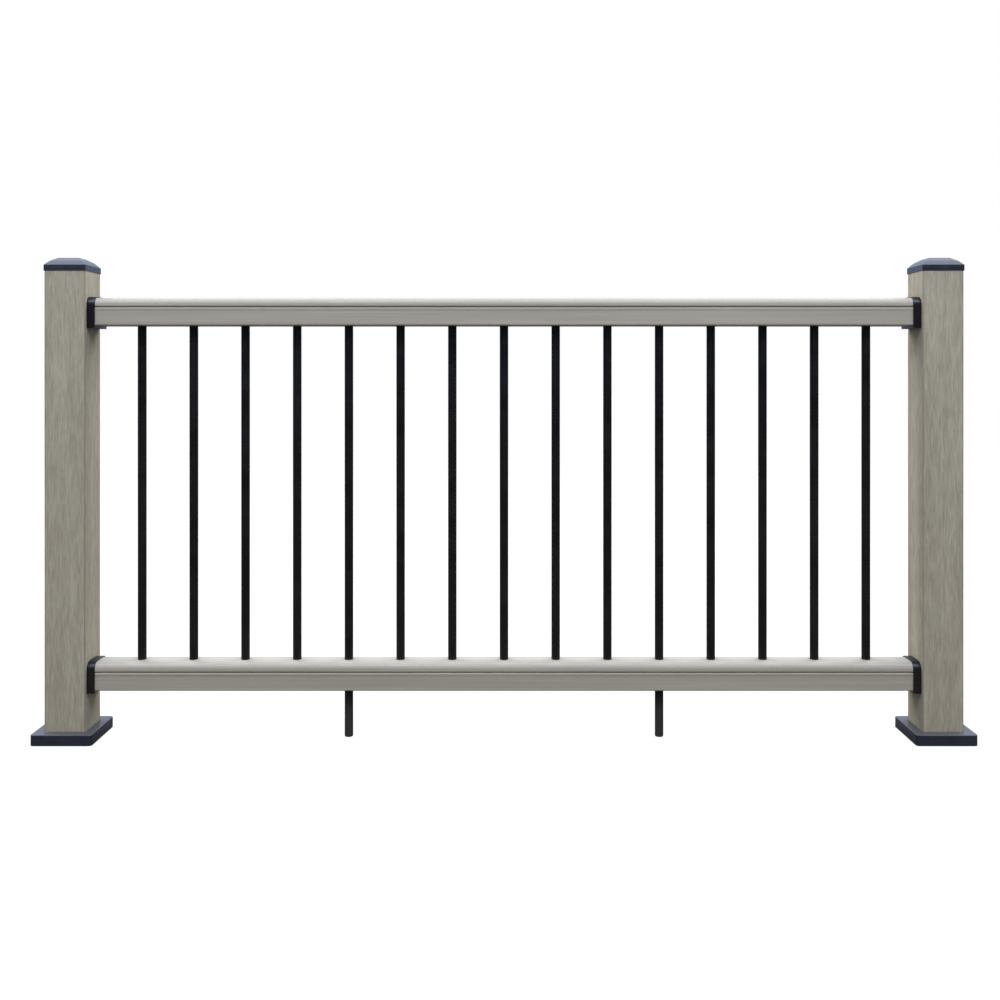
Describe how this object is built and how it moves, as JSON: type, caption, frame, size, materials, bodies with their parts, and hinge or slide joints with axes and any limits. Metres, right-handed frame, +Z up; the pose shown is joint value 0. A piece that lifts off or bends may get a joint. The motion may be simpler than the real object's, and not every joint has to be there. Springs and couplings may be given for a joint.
{
  "type": "deck railing section",
  "caption": "Straight deck railing section: square sleeved posts with caps and base skirts, grooved top and bottom rails in end brackets, round balusters and support feet.",
  "frame": {"origin": "centre of the underside of the left post's base plate, on the deck", "axes": "+X along the rails to the right post, +Y from the front to the back, +Z up"},
  "size_m": [2.053, 0.134, 1.0615],
  "materials": {
    "composite_post": "matte",
    "composite_rail": "matte",
    "moulded_trim": "satin",
    "bracket_black": "satin",
    "black_aluminium": "satin",
    "galvanised_steel": "matte"
  },
  "bodies": {
    "root": {"left_base_plate": "galvanised_steel", "left_post_core": "galvanised_steel", "left_post_sleeve": "composite_post", "left_post_cap": "moulded_trim", "left_base_skirt": "moulded_trim", "right_base_plate": "galvanised_steel", "right_post_core": "galvanised_steel", "right_post_sleeve": "composite_post", "right_post_cap": "moulded_trim", "right_base_skirt": "moulded_trim", "top_rail": "composite_rail", "top_left_bracket": "bracket_black", "top_right_bracket": "bracket_black", "bottom_rail": "composite_rail", "bottom_left_bracket": "bracket_black", "bottom_right_bracket": "bracket_black", "baluster_01": "black_aluminium", "baluster_02": "black_aluminium", "baluster_03": "black_aluminium", "baluster_04": "black_aluminium", "baluster_05": "black_aluminium", "baluster_06": "black_aluminium", "baluster_07": "black_aluminium", "baluster_08": "black_aluminium", "baluster_09": "black_aluminium", "baluster_10": "black_aluminium", "baluster_11": "black_aluminium", "baluster_12": "black_aluminium", "baluster_13": "black_aluminium", "baluster_14": "black_aluminium", "baluster_15": "black_aluminium", "left_support_foot": "black_aluminium", "right_support_foot": "black_aluminium"}
  },
  "joints": []
}
